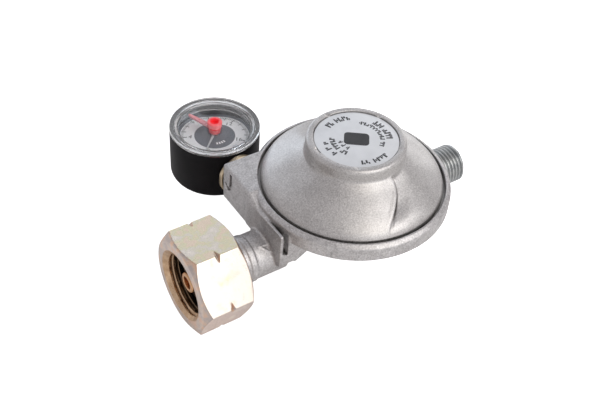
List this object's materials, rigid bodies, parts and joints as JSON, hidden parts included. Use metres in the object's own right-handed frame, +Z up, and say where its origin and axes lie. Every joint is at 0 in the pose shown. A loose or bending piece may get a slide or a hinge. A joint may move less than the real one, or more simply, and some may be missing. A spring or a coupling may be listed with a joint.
{
  "type": "gas pressure regulator",
  "caption": "Low-pressure gas regulator: round spring-and-diaphragm body, union-nut inlet, threaded outlet and a small pressure gauge on a side arm.",
  "frame": {"origin": "centre of the flat foot under the diaphragm bowl", "axes": "+Z up the cover's axis, +X out of the outlet nipple, -X into the union nut, +Y towards the gauge"},
  "size_m": [0.1062, 0.0893, 0.0488],
  "materials": {
    "zamak": "as-cast zinc alloy, fine blasted grain",
    "label": "satin anodised disc with dark print",
    "plated_brass": "machined brass",
    "passivated_zinc": "yellow iridescent passivated zinc on steel",
    "zinc_steel": "bright zinc-plated steel",
    "spring_steel": "drawn spring wire",
    "rubber_black": "nitrile rubber",
    "case_black": "moulded ABS, satin",
    "lens_clear": "clear moulded polycarbonate",
    "marker_red": "translucent red plastic",
    "dial_print": "printed aluminium dial",
    "pointer_light": "thin painted aluminium",
    "nylon_white": "acetal"
  },
  "bodies": {
    "housing": {"body_casting": "zamak", "cover": "zamak", "label_plate": "label", "adjusting_screw": "zamak", "main_spring": "spring_steel", "orifice_seat": "plated_brass", "lever_pin": "zinc_steel", "inlet_nipple": "plated_brass", "inlet_seal": "rubber_black", "inlet_filter": "plated_brass", "outlet_nipple": "zinc_steel", "gauge_case": "case_black", "gauge_lens": "lens_clear", "gauge_seal": "rubber_black", "gauge_socket": "plated_brass", "gauge_dial": "dial_print", "dial_screws": "zinc_steel", "bourdon_tube": "plated_brass", "sector_pin": "zinc_steel", "movement_bottom_plate": "plated_brass", "movement_top_plate": "plated_brass", "movement_pillars": "plated_brass", "movement_screws": "zinc_steel", "hairspring": "spring_steel"},
    "nut_washer": {"nut_washer": "zinc_steel"},
    "nut": {"union_nut": "passivated_zinc"},
    "stem": {"diaphragm_stem": "zamak", "relief_nut": "plated_brass"},
    "diaphragm_plate": {"diaphragm_plate": "zinc_steel", "diaphragm": "rubber_black", "relief_spring": "spring_steel"},
    "lever": {"lever": "zinc_steel"},
    "valve": {"valve_carrier": "nylon_white", "valve_pad": "rubber_black"},
    "pointer": {"gauge_pointer": "pointer_light", "pinion_arbor": "plated_brass"},
    "sector": {"sector_gear": "plated_brass"},
    "tip_link": {"tip_link": "plated_brass", "bourdon_tip": "plated_brass"},
    "marker": {"pressure_marker": "marker_red"}
  },
  "joints": [
    {"name": "nut_slide", "type": "slide", "parent": "housing", "child": "nut_washer", "axis": [1, 0, 0], "range_m": [0, 0.0034]},
    {"name": "nut_spin", "type": "hinge", "parent": "nut_washer", "child": "nut", "pos_m": [-0.053, 0, 0.00753], "axis": [1, 0, 0], "continuous": true},
    {"name": "diaphragm_lift", "type": "slide", "parent": "housing", "child": "stem", "axis": [0, 0, 1], "range_m": [0, 0.0028], "stiffness_N_per_m": 900, "springref_m": -0.008, "deforming": ["main_spring", "diaphragm"]},
    {"name": "relief_lift", "type": "slide", "parent": "stem", "child": "diaphragm_plate", "axis": [0, 0, 1], "range_m": [0, 0.0008], "stiffness_N_per_m": 900, "springref_m": -0.01, "deforming": ["relief_spring"]},
    {"name": "lever_turn", "type": "hinge", "parent": "housing", "child": "lever", "pos_m": [-0.011, 0, 0.0056], "axis": [0, -1, 0], "range_deg": [0, 15]},
    {"name": "valve_slide", "type": "slide", "parent": "housing", "child": "valve", "axis": [-1, 0, 0], "range_m": [0, 0.0012]},
    {"name": "sector_turn", "type": "hinge", "parent": "housing", "child": "sector", "pos_m": [-0.02095, 0.03907, 0.0155], "axis": [0, 0, 1], "range_deg": [0, 54], "stiffness_Nm_per_rad": 0.00002, "springref_deg": -5.73, "deforming": ["bourdon_tube", "hairspring"]},
    {"name": "pointer_turn", "type": "hinge", "parent": "housing", "child": "pointer", "pos_m": [-0.02586, 0.04251, 0.0211], "axis": [0, 0, -1], "range_deg": [0, 270]},
    {"name": "link_turn", "type": "hinge", "parent": "sector", "child": "tip_link", "pos_m": [-0.01991, 0.03713, 0.0163], "axis": [0, 0, -1], "range_deg": [0, 54]},
    {"name": "marker_turn", "type": "hinge", "parent": "housing", "child": "marker", "pos_m": [-0.02586, 0.04251, 0.0248], "axis": [0, 0, 1], "continuous": true}
  ],
  "couplings": [
    {"joint": "lever_turn", "follows": "diaphragm_lift", "rad_per_m": 90.909},
    {"joint": "valve_slide", "follows": "diaphragm_lift", "ratio": 0.41818},
    {"joint": "pointer_turn", "follows": "sector_turn", "ratio": 5},
    {"joint": "link_turn", "follows": "sector_turn", "ratio": 1}
  ]
}
